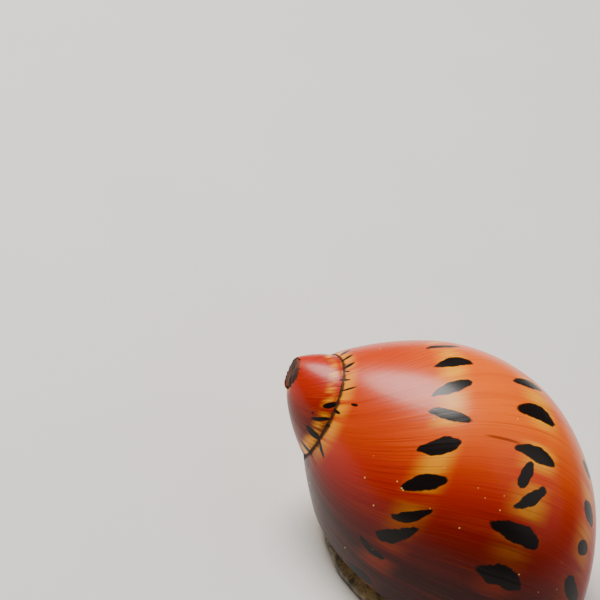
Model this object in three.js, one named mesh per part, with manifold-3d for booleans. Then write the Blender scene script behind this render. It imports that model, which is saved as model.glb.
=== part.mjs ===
// A living nerite snail crawling on a level floor, built life size in millimetres.
// X runs from the spire towards the front of the shell, Z is up, and the floor is Z = 0.
// The shell is a coiled tube whose section grows as it turns about a tilted axis.
// The soft body comes out under the lip, with the head towards +X and -Y.

import * as THREE from 'three';
import Module from 'manifold-3d';

const wasm = await Module();
wasm.setup();
const { Manifold, Mesh } = wasm;

// Driving dimensions of the shell coil
const SPIRAL_SIZE = 9.96;
const GROWTH_RATE = 0.145;
const GROWTH_SLOWING = 0.007;
const AXIS_DIP_DEG = 23.3;
const COIL_SPIN_DEG = -43.8;
const SECTION_RADIUS_OFFSET = 0.308;
const SECTION_AXIAL_OFFSET = 1.209;
const SECTION_FLATNESS = 0.52;
const SECTION_TILT_DEG = 68.5;
const SECTION_POWER = 1.87;
const SPIRE_START_DEG = -560;
const SPIRE_END_DEG = -135;
const LIP_END_DEG = 221;
const OUTER_POINTS = 26;
const BASE_POINTS = 10;
const BASE_POLE = 26.5;
const CLOSING_DEG = 85;
const RING_STEP_DEG = 6;

// Where the shell sits over the floor
const APEX_POINT = new THREE.Vector3(-14.0, 2.2, 12.9);
const LIP_HEIGHT = 2.5;
const TIP_CUT = 1.45;
const TIP_CAP_DEPTH = 0.9;
const SPIRE_LENGTH = 4.4;
const LIP_THICKNESS = 1.1;
const PLATE_DEPTH = 3.6;
const RECESS_DEPTH = 3.0;
const COLUMELLA_Y = 1.5;
const DECK_THICKNESS = 1.1;
const GAP = 0.3;

// Driving dimensions of the soft body
const HEADING_DEG = -35;
const SOLE_CENTRE = new THREE.Vector2(1.6, -3.4);
const SOLE_FRONT = 10.0;
const SOLE_BACK = 10.0;
const SOLE_HALF_WIDTH = 5.9;
const FOOT_RIM = 0.7;
const FOOT_TOP = 1.5;
const STALK_TOP = 3.4;
const HEAD_START = 5.0;
const HEAD_END = 14.2;
const HEAD_HALF_WIDTH = 2.3;
const SNOUT_CUT = 12.8;
const NECK_CUT = 9.9;
const TENTACLE_LENGTH = 8.4;
const TENTACLE_RADIUS = 0.52;
const TENTACLE_TIP_RADIUS = 0.2;
const TENTACLE_SPREAD = 1.75;
const EYE_RADIUS = 0.32;

// Small helpers for angles and for turning loops of points into closed solids
const rad = (degrees) => degrees * Math.PI / 180;

function solidFromLoops(loops) {
  const count = loops[0].length;
  const verts = [];
  const tris = [];
  for (const loop of loops) {
    for (const point of loop) {
      verts.push(point.x, point.y, point.z);
    }
  }
  for (let i = 0; i + 1 < loops.length; i += 1) {
    for (let j = 0; j < count; j += 1) {
      const a = i * count + j;
      const b = i * count + (j + 1) % count;
      tris.push(a, b, b + count);
      tris.push(a, b + count, a + count);
    }
  }
  for (const end of [0, loops.length - 1]) {
    const centre = new THREE.Vector3();
    for (const point of loops[end]) {
      centre.addScaledVector(point, 1 / count);
    }
    const hub = verts.length / 3;
    verts.push(centre.x, centre.y, centre.z);
    for (let j = 0; j < count; j += 1) {
      const a = end * count + j;
      const b = end * count + (j + 1) % count;
      if (end === 0) {
        tris.push(hub, b, a);
      } else {
        tris.push(hub, a, b);
      }
    }
  }
  return solidFromTriangles(verts, tris);
}

function solidFromTriangles(verts, tris) {
  let volume = 0;
  const at = (k) => new THREE.Vector3(verts[3 * k], verts[3 * k + 1], verts[3 * k + 2]);
  for (let k = 0; k < tris.length; k += 3) {
    const cross = at(tris[k + 1]).cross(at(tris[k + 2]));
    volume += at(tris[k]).dot(cross) / 6;
  }
  const ordered = [];
  for (let k = 0; k < tris.length; k += 3) {
    if (volume > 0) {
      ordered.push(tris[k], tris[k + 1], tris[k + 2]);
    } else {
      ordered.push(tris[k], tris[k + 2], tris[k + 1]);
    }
  }
  const mesh = new Mesh({
    numProp: 3,
    vertProperties: new Float32Array(verts),
    triVerts: new Uint32Array(ordered),
  });
  mesh.merge();
  return new Manifold(mesh);
}

function box(x0, x1, y0, y1, z0, z1) {
  return Manifold.cube([x1 - x0, y1 - y0, z1 - z0]).translate([x0, y0, z0]);
}

// The coil: axis, growth and the section of the tube
const axis = new THREE.Vector3(Math.cos(rad(AXIS_DIP_DEG)), 0, -Math.sin(rad(AXIS_DIP_DEG)));
const risen = new THREE.Vector3(Math.sin(rad(AXIS_DIP_DEG)), 0, Math.cos(rad(AXIS_DIP_DEG)));
const across = new THREE.Vector3().crossVectors(axis, risen);
const spin = rad(COIL_SPIN_DEG);

function steadyGrowth(theta) {
  return SPIRAL_SIZE * Math.exp(GROWTH_RATE * theta - GROWTH_SLOWING * theta * theta);
}

// Past the lip the whorl closes smoothly down onto the turn before it
function closing(theta) {
  return THREE.MathUtils.smoothstep(theta, rad(LIP_END_DEG), rad(LIP_END_DEG + CLOSING_DEG));
}

function growth(theta) {
  const last = steadyGrowth(Math.min(theta, rad(LIP_END_DEG)));
  return THREE.MathUtils.lerp(last, steadyGrowth(theta - 2 * Math.PI), closing(theta));
}

function sectionPoint(t) {
  const c0 = Math.cos(t);
  const s0 = Math.sin(t);
  const ripple = 1 - 0.021 * Math.cos(3 * t) + 0.022 * Math.sin(3 * t) + 0.016 * Math.sin(4 * t);
  const c = ripple * Math.sign(c0) * Math.abs(c0) ** (2 / SECTION_POWER);
  const s = ripple * Math.sign(s0) * Math.abs(s0) ** (2 / SECTION_POWER);
  const tilt = rad(SECTION_TILT_DEG);
  const radius = SECTION_RADIUS_OFFSET + c * Math.cos(tilt) - SECTION_FLATNESS * s * Math.sin(tilt);
  const along = SECTION_AXIAL_OFFSET + c * Math.sin(tilt) + SECTION_FLATNESS * s * Math.cos(tilt);
  return new THREE.Vector2(radius, along);
}

function coilPoint(theta, radius, along) {
  const turn = theta + spin;
  const point = APEX_POINT.clone();
  point.addScaledVector(risen, radius * Math.cos(turn));
  point.addScaledVector(across, radius * Math.sin(turn));
  point.addScaledVector(axis, along);
  return point;
}

// A half section from the axis round the outside of the whorl and back to the axis.
// Past its widest part the base swings in to one pole, so the front of the shell is rounded.
function sectionLoop(theta, poleAlong) {
  const size = growth(theta);
  const turnIn = THREE.MathUtils.smoothstep(theta, rad(-60), rad(40)) - closing(theta);
  const leave = THREE.MathUtils.lerp(-1.05, -0.1, turnIn);
  const start = -2.95;
  const outline = [new THREE.Vector2(0.02, sectionPoint(start).y).multiplyScalar(size)];
  for (let i = 0; i <= OUTER_POINTS; i += 1) {
    const t = start + (leave - start) * i / OUTER_POINTS;
    outline.push(sectionPoint(t).multiplyScalar(size));
  }
  const from = outline[outline.length - 1];
  const pole = new THREE.Vector2(0.02 * size, poleAlong);
  const reach = from.distanceTo(pole);
  const away = sectionPoint(leave + 0.01).sub(sectionPoint(leave - 0.01)).setLength(reach);
  for (let i = 1; i <= BASE_POINTS; i += 1) {
    const f = i / BASE_POINTS;
    const keep = 1 - 3 * f * f + 2 * f * f * f;
    const ease = f - 2 * f * f + f * f * f;
    const land = f * f * f - f * f;
    const radius = keep * from.x + ease * away.x + (1 - keep) * pole.x - land * 1.1 * reach;
    const along = keep * from.y + ease * away.y + (1 - keep) * pole.y;
    outline.push(new THREE.Vector2(Math.max(radius, pole.x), along));
  }
  return outline.map((place) => coilPoint(theta, place.x, place.y));
}

function coilSolid(fromDeg, toDeg, poleOf) {
  const pieces = [];
  const turns = Math.ceil((toDeg - fromDeg) / 120);
  const span = (toDeg - fromDeg) / turns;
  for (let k = 0; k < turns; k += 1) {
    const start = fromDeg + k * span;
    const steps = Math.ceil(span / RING_STEP_DEG);
    const overlap = k + 1 < turns ? 1 : 0;
    const rings = [];
    for (let i = 0; i <= steps + overlap; i += 1) {
      const theta = rad(start + span * i / steps);
      rings.push(sectionLoop(theta, poleOf(theta)));
    }
    pieces.push(solidFromLoops(rings));
  }
  return Manifold.union(pieces);
}

// A slender cone along the coil axis fills the pinhole in the middle of the coil
function axisCore(fromAlong, toAlong, fromRadius, toRadius) {
  const loops = [];
  for (const [along, radius] of [[fromAlong, fromRadius], [toAlong, toRadius]]) {
    const loop = [];
    for (let i = 0; i < 12; i += 1) {
      loop.push(coilPoint(2 * Math.PI * i / 12, radius, along));
    }
    loops.push(loop);
  }
  return solidFromLoops(loops);
}

// The whole coil, cut level at the lip and flat across the worn tip
const coil = coilSolid(SPIRE_START_DEG, SPIRE_END_DEG, (theta) => 1.9 * growth(theta))
  .add(coilSolid(SPIRE_END_DEG - 20, LIP_END_DEG + CLOSING_DEG, () => BASE_POLE))
  .add(axisCore(1.3, 22, 0.5, 3.4))
  .trimByPlane(axis.toArray(), APEX_POINT.dot(axis) + TIP_CUT)
  .trimByPlane([0, 0, 1], LIP_HEIGHT);

// A flat slab inside the mouth side sets the room for the mantle and the inner lip
const bottomSlice = coil.trimByPlane([0, 0, -1], -(LIP_HEIGHT + PLATE_DEPTH));
const mouthPlate = Manifold.hull([bottomSlice]);

function shrunkPlate(thickness) {
  const edge = mouthPlate.boundingBox();
  const middle = [(edge.min[0] + edge.max[0]) / 2, (edge.min[1] + edge.max[1]) / 2, 0];
  const halfLength = (edge.max[0] - edge.min[0]) / 2;
  const halfWidth = (edge.max[1] - edge.min[1]) / 2;
  return mouthPlate
    .translate([-middle[0], -middle[1], -LIP_HEIGHT])
    .scale([1 - thickness / halfLength, 1 - thickness / halfWidth, 1.2])
    .translate([middle[0], middle[1], LIP_HEIGHT - 0.3]);
}

const apertureSide = box(-40, 40, -40, COLUMELLA_Y, -5, LIP_HEIGHT + RECESS_DEPTH);
const recess = shrunkPlate(LIP_THICKNESS).intersect(apertureSide);

function alongAxis(solid, from, to) {
  const start = APEX_POINT.dot(axis);
  const forward = axis.toArray();
  const backward = axis.clone().negate().toArray();
  return solid.trimByPlane(forward, start + from).trimByPlane(backward, -(start + to));
}

// Tip, spire and body whorl are parted square to the axis, near the last suture
const tipEnd = TIP_CUT + TIP_CAP_DEPTH;
const apexCap = alongAxis(coil, TIP_CUT, tipEnd - GAP / 2);
const spire = alongAxis(coil, tipEnd + GAP / 2, SPIRE_LENGTH - GAP / 2);
const lowerShell = alongAxis(coil, SPIRE_LENGTH + GAP / 2, 60);
const deckZone = box(-40, 40, COLUMELLA_Y, 40, -5, LIP_HEIGHT + DECK_THICKNESS);
const deckRoom = box(-40, 40, COLUMELLA_Y - 0.6, 40, -5, LIP_HEIGHT + DECK_THICKNESS + GAP);
const deck = alongAxis(shrunkPlate(1.4).intersect(deckZone), SPIRE_LENGTH + 3 * GAP, 60);
const bodyWhorl = lowerShell
  .subtract(recess)
  .subtract(shrunkPlate(0.85).intersect(deckRoom));

// The soft body is placed along its own heading, s forwards and w to the left
const heading = new THREE.Vector3(Math.cos(rad(HEADING_DEG)), Math.sin(rad(HEADING_DEG)), 0);
const leftward = new THREE.Vector3(-heading.y, heading.x, 0);

function bodyPoint(s, w, z) {
  const point = new THREE.Vector3(SOLE_CENTRE.x, SOLE_CENTRE.y, z);
  point.addScaledVector(heading, s);
  point.addScaledVector(leftward, w);
  return point;
}

// Foot: a flat-soled slab, rounded in front and drawn out behind, with a low stalk on top
function soleHalfWidth(s) {
  const reach = s > 0 ? SOLE_FRONT : SOLE_BACK;
  const power = s > 0 ? 2.6 : 1.9;
  const part = Math.min(Math.abs(s) / reach, 1);
  return SOLE_HALF_WIDTH * (1 - part ** power) ** (1 / 2);
}

function footLayer(z, inset) {
  const loop = [];
  const count = 72;
  for (let i = 0; i < count; i += 1) {
    const angle = 2 * Math.PI * i / count;
    const s = Math.cos(angle) * (Math.cos(angle) > 0 ? SOLE_FRONT : SOLE_BACK);
    const w = Math.sign(Math.sin(angle)) * soleHalfWidth(s);
    const shrink = 1 - inset / SOLE_HALF_WIDTH;
    loop.push(bodyPoint(s * (1 - inset / SOLE_FRONT), w * shrink, z));
  }
  return loop;
}

const footSlab = solidFromLoops([
  footLayer(0, 0.35),
  footLayer(0.25, 0),
  footLayer(FOOT_RIM, 0.15),
  footLayer(1.0, 0.9),
  footLayer(1.25, 2.0),
  footLayer(FOOT_TOP, 3.2),
]);

function ovalLoop(s0, w0, halfLong, halfWide, z) {
  const loop = [];
  for (let i = 0; i < 48; i += 1) {
    const angle = 2 * Math.PI * i / 48;
    loop.push(bodyPoint(s0 + halfLong * Math.cos(angle), w0 + halfWide * Math.sin(angle), z));
  }
  return loop;
}

const stalk = solidFromLoops([
  ovalLoop(1.2, 0, 6.4, 4.2, 1.0),
  ovalLoop(1.2, 0, 5.6, 3.7, 1.8),
  ovalLoop(1.0, 0, 5.2, 3.6, 2.6),
  ovalLoop(0.8, 0, 5.4, 3.9, STALK_TOP),
]);

// Neck, head and snout are one tapering form, parted afterwards by thin cuts
function headLoop(s, halfWide, low, high) {
  const loop = [];
  for (let i = 0; i < 32; i += 1) {
    const angle = 2 * Math.PI * i / 32;
    const c = Math.cos(angle);
    const sn = Math.sin(angle);
    const w = halfWide * Math.sign(c) * Math.abs(c) ** 0.85;
    const z = (low + high) / 2 + (high - low) / 2 * Math.sign(sn) * Math.abs(sn) ** 0.85;
    loop.push(bodyPoint(s, w, z));
  }
  return loop;
}

const headForm = solidFromLoops([
  headLoop(HEAD_START, HEAD_HALF_WIDTH * 1.1, 1.4, 2.6),
  headLoop(6.6, HEAD_HALF_WIDTH * 1.1, 1.3, 2.2),
  headLoop(8.6, HEAD_HALF_WIDTH * 1.02, 1.1, 2.12),
  headLoop(10.2, HEAD_HALF_WIDTH * 0.98, 0.85, 2.15),
  headLoop(11.3, HEAD_HALF_WIDTH * 1.04, 0.65, 2.95),
  headLoop(12.1, HEAD_HALF_WIDTH * 1.02, 0.52, 3.05),
  headLoop(12.8, HEAD_HALF_WIDTH * 0.94, 0.42, 2.7),
  headLoop(13.6, HEAD_HALF_WIDTH * 0.8, 0.42, 2.15),
  headLoop(14.0, HEAD_HALF_WIDTH * 0.62, 0.52, 1.75),
  headLoop(HEAD_END, HEAD_HALF_WIDTH * 0.4, 0.75, 1.45),
]);

function slice(solid, fromS, toS) {
  const base = bodyPoint(0, 0, 0).dot(heading);
  const ahead = heading.toArray();
  const backward = heading.clone().negate().toArray();
  return solid.trimByPlane(ahead, base + fromS).trimByPlane(backward, -(base + toS));
}

const mouth = Manifold.cube([0.5, 1.5, 1.0], true)
  .rotate([0, 0, HEADING_DEG])
  .translate(bodyPoint(13.4, 0, 0.4).toArray());

// The mantle fills the shell mouth and lines the lip, a little inside it
const mantleSide = box(-40, 40, -40, COLUMELLA_Y - GAP, LIP_HEIGHT - 0.2,
  LIP_HEIGHT + RECESS_DEPTH - GAP);
const stalkRoom = solidFromLoops([
  ovalLoop(1.2, 0, 6.8, 4.5, 0.6),
  ovalLoop(1.2, 0, 5.9, 4.0, 1.7),
  ovalLoop(1.0, 0, 5.6, 4.0, 2.6),
  ovalLoop(0.8, 0, 5.8, 4.3, STALK_TOP + 1.3 * GAP),
]);
const headRoom = solidFromLoops([
  headLoop(HEAD_START - GAP, HEAD_HALF_WIDTH * 1.1 + GAP, 1.5 - GAP, 3.0 + 1.4 * GAP),
  headLoop(7.0, HEAD_HALF_WIDTH * 1.12 + GAP, 1.4 - 1.4 * GAP, 2.6 + 1.4 * GAP),
  headLoop(8.6, HEAD_HALF_WIDTH * 1.06 + GAP, 1.1 - 1.4 * GAP, 2.35 + GAP),
  headLoop(9.8, HEAD_HALF_WIDTH * 1.06 + GAP, 0.85 - 1.4 * GAP, 2.6 + GAP),
  headLoop(14.0, HEAD_HALF_WIDTH * 1.1 + GAP, 0.1, 3.4 + GAP),
]);
const mantleForm = shrunkPlate(LIP_THICKNESS + 1.1 * GAP)
  .intersect(mantleSide)
  .subtract(stalkRoom)
  .subtract(headRoom);
const mantle = alongAxis(mantleForm, SPIRE_LENGTH + 4 * GAP, 60);
const foot = footSlab.add(stalk).subtract(headRoom);
const neck = slice(headForm, HEAD_START, NECK_CUT - GAP / 2)
  .subtract(solidFromLoops([ovalLoop(1.2, 0, 6.6, 4.5, 0.2), ovalLoop(1.2, 0, 6.4, 4.4, 1.55)]));
const head = slice(headForm, NECK_CUT + GAP / 2, SNOUT_CUT - GAP / 2);
const snout = slice(headForm, SNOUT_CUT + GAP / 2, 20).subtract(mouth);

// Tentacles: tapering feelers that sweep forwards and outwards, each in three lengths
function tentaclePath(side) {
  const points = [];
  for (let i = 0; i <= 4; i += 1) {
    const f = i / 4;
    const s = 11.3 + TENTACLE_LENGTH * (0.86 * f - 0.1 * f * f);
    const w = side * (TENTACLE_SPREAD + TENTACLE_LENGTH * (0.36 * f + 0.16 * f * f));
    const z = 2.45 + 1.1 * Math.sin(2.4 * f) - 1.3 * f * f;
    points.push(bodyPoint(s, w, z));
  }
  return new THREE.CatmullRomCurve3(points);
}

function tentaclePiece(side, from, to, extra) {
  const path = tentaclePath(side);
  const loops = [];
  const steps = 6;
  for (let i = 0; i <= steps; i += 1) {
    const f = from + (to - from) * i / steps;
    const centre = path.getPoint(f);
    const along = path.getTangent(f);
    const sideways = new THREE.Vector3().crossVectors(along, new THREE.Vector3(0, 0, 1)).normalize();
    const upward = new THREE.Vector3().crossVectors(sideways, along);
    const radius = extra + TENTACLE_RADIUS + (TENTACLE_TIP_RADIUS - TENTACLE_RADIUS) * f;
    const loop = [];
    for (let j = 0; j < 12; j += 1) {
      const angle = 2 * Math.PI * j / 12;
      const point = centre.clone();
      point.addScaledVector(sideways, radius * Math.cos(angle));
      point.addScaledVector(upward, radius * Math.sin(angle));
      loop.push(point);
    }
    loops.push(loop);
  }
  return solidFromLoops(loops);
}

// Eyes sit on short stalks at the outer side of each tentacle base
function ball(centre, radius, stretch) {
  return Manifold.sphere(radius, 20).scale([1, 1, stretch]).translate(centre.toArray());
}

function eyeStalk(side) {
  const foot0 = bodyPoint(11.2, side * 2.15, 2.1);
  const top = bodyPoint(11.3, side * 2.85, 2.85);
  const form = Manifold.hull([ball(foot0, 0.5, 1), ball(top, 0.42, 1)]);
  return form;
}

function eye(side, extra) {
  return ball(bodyPoint(11.4, side * 3.05, 3.2), EYE_RADIUS + extra, 1);
}

// Operculum: the shelly trapdoor carried on top of the tail, behind the stalk
const operculumLoop = (z, grow, front) => {
  const loop = [];
  for (let i = 0; i < 40; i += 1) {
    const angle = 2 * Math.PI * i / 40;
    const s = -6.2 + (2.3 + grow) * Math.cos(angle);
    const w = (3.4 + grow) * Math.sin(angle);
    loop.push(bodyPoint(Math.min(s, front), w, z));
  }
  return loop;
};
const operculum = solidFromLoops([
  operculumLoop(1.3, -0.1, -5.3),
  operculumLoop(1.6, 0, -5.2),
  operculumLoop(1.9, -0.25, -5.4),
]);
const operculumRoom = solidFromLoops([
  operculumLoop(1.0, 0.3, -4.9),
  operculumLoop(2.25, 0.3, -4.9),
]);

// Colours and finish of each node, from the photograph and the species
const finish = {
  shell: { color: 0xc8501a, roughness: 0.32, metalness: 0 },
  spire: { color: 0xc0431c, roughness: 0.32, metalness: 0 },
  apex: { color: 0x8a6a55, roughness: 0.7, metalness: 0 },
  deck: { color: 0xe8d9b8, roughness: 0.25, metalness: 0 },
  operculum: { color: 0x8c8478, roughness: 0.45, metalness: 0 },
  flesh: { color: 0x6b6354, roughness: 0.5, metalness: 0 },
  mantle: { color: 0x8b8068, roughness: 0.5, metalness: 0 },
  tentacle: { color: 0x4a453c, roughness: 0.5, metalness: 0 },
  eye: { color: 0x060606, roughness: 0.12, metalness: 0 },
};

const group = new THREE.Group();

// Keeps the largest closed skin of a solid, which also fills any void sealed inside it
function largestSkin(solid) {
  const parts = solid.decompose().sort((a, b) => b.volume() - a.volume());
  const out = parts[0].simplify(0.006).getMesh();
  const count = out.vertProperties.length / 3;
  const owner = Array.from({ length: count }, (_, k) => k);
  const find = (k) => {
    let root = k;
    while (owner[root] !== root) {
      owner[root] = owner[owner[root]];
      root = owner[root];
    }
    return root;
  };
  for (let k = 0; k < out.triVerts.length; k += 3) {
    owner[find(out.triVerts[k])] = find(out.triVerts[k + 1]);
    owner[find(out.triVerts[k + 1])] = find(out.triVerts[k + 2]);
  }
  const at = (k) => new THREE.Vector3().fromArray(out.vertProperties, 3 * k);
  const volumes = new Map();
  for (let k = 0; k < out.triVerts.length; k += 3) {
    const [a, b, c] = out.triVerts.slice(k, k + 3);
    const root = find(a);
    const part = at(a).dot(at(b).cross(at(c))) / 6;
    volumes.set(root, (volumes.get(root) || 0) + part);
  }
  let best = -1;
  for (const [root, volume] of volumes) {
    if (best < 0 || volume > volumes.get(best)) {
      best = root;
    }
  }
  const kept = [];
  for (let k = 0; k < out.triVerts.length; k += 3) {
    if (find(out.triVerts[k]) === best) {
      kept.push(out.triVerts[k], out.triVerts[k + 1], out.triVerts[k + 2]);
    }
  }
  return [out.vertProperties, kept];
}

function addNode(name, solid, look) {
  const [places, triangles] = largestSkin(solid);
  const geometry = new THREE.BufferGeometry();
  geometry.setAttribute('position', new THREE.BufferAttribute(new Float32Array(places), 3));
  geometry.setIndex(new THREE.BufferAttribute(new Uint32Array(triangles), 1));
  const node = new THREE.Mesh(geometry, new THREE.MeshStandardMaterial(look));
  node.name = name;
  group.add(node);
}

addNode('shell_body_whorl', bodyWhorl, finish.shell);
addNode('shell_spire', spire, finish.spire);
addNode('shell_apex', apexCap, finish.apex);
addNode('shell_columellar_deck', deck, finish.deck);
addNode('operculum', operculum, finish.operculum);
addNode('mantle', mantle, finish.mantle);
addNode('foot', foot.subtract(operculumRoom), finish.flesh);
addNode('neck', neck, finish.flesh);

let headSolid = head;
for (const side of [1, -1]) {
  headSolid = headSolid.subtract(tentaclePiece(side, 0, 0.32, GAP));
  headSolid = headSolid.subtract(ball(bodyPoint(11.2, side * 2.15, 2.1), 0.8, 1));
}
addNode('head', headSolid, finish.flesh);
addNode('snout', snout, finish.flesh);

for (const [side, label] of [[1, 'left'], [-1, 'right']]) {
  const stalkSolid = eyeStalk(side)
    .subtract(tentaclePiece(side, 0, 0.4, GAP))
    .subtract(eye(side, GAP));
  addNode(`tentacle_${label}_base`, tentaclePiece(side, 0.04, 0.32, 0), finish.tentacle);
  addNode(`tentacle_${label}_middle`, tentaclePiece(side, 0.36, 0.64, 0), finish.tentacle);
  addNode(`tentacle_${label}_tip`, tentaclePiece(side, 0.68, 1, 0), finish.tentacle);
  addNode(`eye_stalk_${label}`, stalkSolid, finish.flesh);
  addNode(`eye_${label}`, eye(side, 0), finish.eye);
}

export default group;
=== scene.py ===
# A living nerite snail crawling on a pale floor, in the view of the photograph.
import math

import bmesh
import bpy
import numpy as np
from mathutils import Matrix, Vector, noise


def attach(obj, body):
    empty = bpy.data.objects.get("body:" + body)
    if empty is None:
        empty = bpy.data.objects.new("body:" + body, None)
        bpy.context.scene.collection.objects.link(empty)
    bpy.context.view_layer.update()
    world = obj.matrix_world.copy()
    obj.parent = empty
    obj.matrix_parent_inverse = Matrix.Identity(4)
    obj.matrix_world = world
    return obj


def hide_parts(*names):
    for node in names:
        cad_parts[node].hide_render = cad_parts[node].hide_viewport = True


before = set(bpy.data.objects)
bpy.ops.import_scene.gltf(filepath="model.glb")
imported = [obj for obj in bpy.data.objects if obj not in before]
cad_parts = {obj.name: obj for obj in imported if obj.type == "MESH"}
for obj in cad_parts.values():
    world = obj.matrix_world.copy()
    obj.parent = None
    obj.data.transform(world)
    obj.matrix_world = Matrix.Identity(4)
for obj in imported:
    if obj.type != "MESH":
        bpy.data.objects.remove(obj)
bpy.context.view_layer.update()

# The coiled shell
# The real shell is one piece of chalky aragonite under a thin glossy coloured skin. The mantle
# lays it down at the lip, so each turn grows wider and covers the one before it to the suture.
to_metres = 0.001
to_mm = 1000.0

# Lengths in the sums are in millimetres, and those given straight to Blender in metres. The
# proportions of the coil were fitted to the outline, suture and growth lines in the photograph.
coil_dip = math.radians(23.3)
coil_axis = np.array([math.cos(coil_dip), 0.0, -math.sin(coil_dip)])
coil_risen = np.array([math.sin(coil_dip), 0.0, math.cos(coil_dip)])
coil_across = np.cross(coil_axis, coil_risen)
coil_spin = math.radians(-43.8)
apex_point = np.array([-14.0, 2.2, 12.9])
lip_height = 2.5
lip_turn = math.radians(221)
closing_turn = math.radians(85)
lip_size = 9.96
growth_rate = 0.145
growth_slowing = 0.007
section_power = 2.0 / 1.87
section_tilt = math.radians(68.5)
section_flatness = 0.52
section_radius = 0.308
section_along = 1.209
hub_t = -2.95
hub_radius = 0.02
base_end_t = 0.9


def smooth_step(value, low, high):
    part = np.clip((value - low) / (high - low), 0.0, 1.0)
    return part * part * (3.0 - 2.0 * part)


def steady_growth(theta):
    return lip_size * np.exp(growth_rate * theta - growth_slowing * theta * theta)


def closing(theta):
    return smooth_step(theta, lip_turn, lip_turn + closing_turn)


def growth(theta):
    """Size of the section. Past the lip it shrinks to meet the turn before it."""
    last = steady_growth(np.minimum(theta, lip_turn))
    part = closing(theta)
    return last * (1.0 - part) + steady_growth(theta - 2.0 * math.pi) * part


def section_point(t):
    """Radius and place along the axis at t of a section of unit size."""
    ripple = 1.0 - 0.021 * np.cos(3 * t) + 0.022 * np.sin(3 * t) + 0.016 * np.sin(4 * t)
    c = ripple * np.sign(np.cos(t)) * np.abs(np.cos(t)) ** section_power
    s = ripple * np.sign(np.sin(t)) * np.abs(np.sin(t)) ** section_power
    flat_s = section_flatness * s
    radius = section_radius + c * math.cos(section_tilt) - flat_s * math.sin(section_tilt)
    along = section_along + c * math.sin(section_tilt) + flat_s * math.cos(section_tilt)
    return np.stack([radius, along], axis=-1)


def coil_place(theta, radius, along):
    turn = theta + coil_spin
    place = apex_point + np.multiply.outer(radius * np.cos(turn), coil_risen)
    place = place + np.multiply.outer(radius * np.sin(turn), coil_across)
    return place + np.multiply.outer(along, coil_axis)


def section_loop(theta, pole_along, outer_count, base_count):
    """One closed section: the hub, the outer wall, then a curve to the pole on the axis."""
    size = growth(theta)
    turn_in = smooth_step(theta, math.radians(-60), math.radians(40)) - closing(theta)
    leave = -1.05 + 0.95 * turn_in
    t = np.linspace(hub_t, leave, outer_count)
    outer = section_point(t) * size
    hub = np.array([[hub_radius, section_point(np.array(hub_t))[1]]]) * size
    pole = np.array([hub_radius * size, pole_along])
    reach = np.linalg.norm(pole - outer[-1])
    away = section_point(np.array(leave + 0.01)) - section_point(np.array(leave - 0.01))
    away = away * reach / np.linalg.norm(away)
    f = np.linspace(0.0, 1.0, base_count + 1)[1:]
    keep = 1.0 - 3.0 * f ** 2 + 2.0 * f ** 3
    ease = f - 2.0 * f ** 2 + f ** 3
    land = f ** 3 - f ** 2
    radius = keep * outer[-1, 0] + ease * away[0] + (1.0 - keep) * pole[0] - land * 1.1 * reach
    along = keep * outer[-1, 1] + ease * away[1] + (1.0 - keep) * pole[1]
    base = np.stack([np.maximum(radius, pole[0]), along], axis=-1)
    outline = np.concatenate([hub, outer, base])
    places = coil_place(theta, outline[:, 0], outline[:, 1])
    t_all = np.concatenate([[hub_t], t, leave + (base_end_t - leave) * f])
    return places, t_all


def loft(rings, coordinates=None):
    """Closed skin through rings of points in millimetres, with one (u, v) pair to a point."""
    rings = [np.asarray(ring) for ring in rings]
    count = len(rings[0])
    verts = np.concatenate(rings + [rings[0].mean(0)[None], rings[-1].mean(0)[None]])
    last = (len(rings) - 1) * count
    faces = []
    for i in range(len(rings) - 1):
        for j in range(count):
            a = i * count + j
            b = i * count + (j + 1) % count
            faces.append((a, b, b + count, a + count))
    for j in range(count):
        k = (j + 1) % count
        faces.append((last + count, k, j))
        faces.append((last + count + 1, last + j, last + k))
    mesh = bpy.data.meshes.new("loft")
    mesh.from_pydata((verts * to_metres).tolist(), [], faces)
    if coordinates is not None:
        pairs = np.concatenate(coordinates)
        ends = [pairs[:count].mean(0)[None], pairs[-count:].mean(0)[None]]
        pairs = np.concatenate([pairs] + ends)
        corner = np.empty(len(mesh.loops), dtype=np.int32)
        mesh.loops.foreach_get("vertex_index", corner)
        layer = mesh.uv_layers.new(name="Coil")
        layer.uv.foreach_set("vector", pairs[corner].astype(np.float32).ravel())
    form = bmesh.new()
    form.from_mesh(mesh)
    bmesh.ops.recalc_face_normals(form, faces=form.faces)
    form.to_mesh(mesh)
    form.free()
    return mesh


def wear(piece, look):
    piece.data.materials.clear()
    piece.data.materials.append(look)


def smooth(mesh, crease_deg=None):
    for face in mesh.polygons:
        face.use_smooth = True
    if crease_deg is not None:
        mesh.set_sharp_from_angle(angle=math.radians(crease_deg))


def as_object(name, mesh):
    made = bpy.data.objects.new(name, mesh)
    bpy.context.scene.collection.objects.link(made)
    return made


def settled(piece):
    """Applies the piece's modifiers to its mesh."""
    bpy.context.view_layer.update()
    shape = piece.evaluated_get(bpy.context.evaluated_depsgraph_get())
    mesh = bpy.data.meshes.new_from_object(shape)
    piece.modifiers.clear()
    piece.data = mesh
    return piece


def combined(piece, tool, operation):
    """Joins or cuts the piece with the tool, which is then removed."""
    change = piece.modifiers.new("combine", "BOOLEAN")
    change.operation = operation
    change.object = tool
    change.solver = "MANIFOLD"
    change.material_mode = "TRANSFER"
    settled(piece)
    bpy.data.objects.remove(tool)
    return piece


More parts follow.
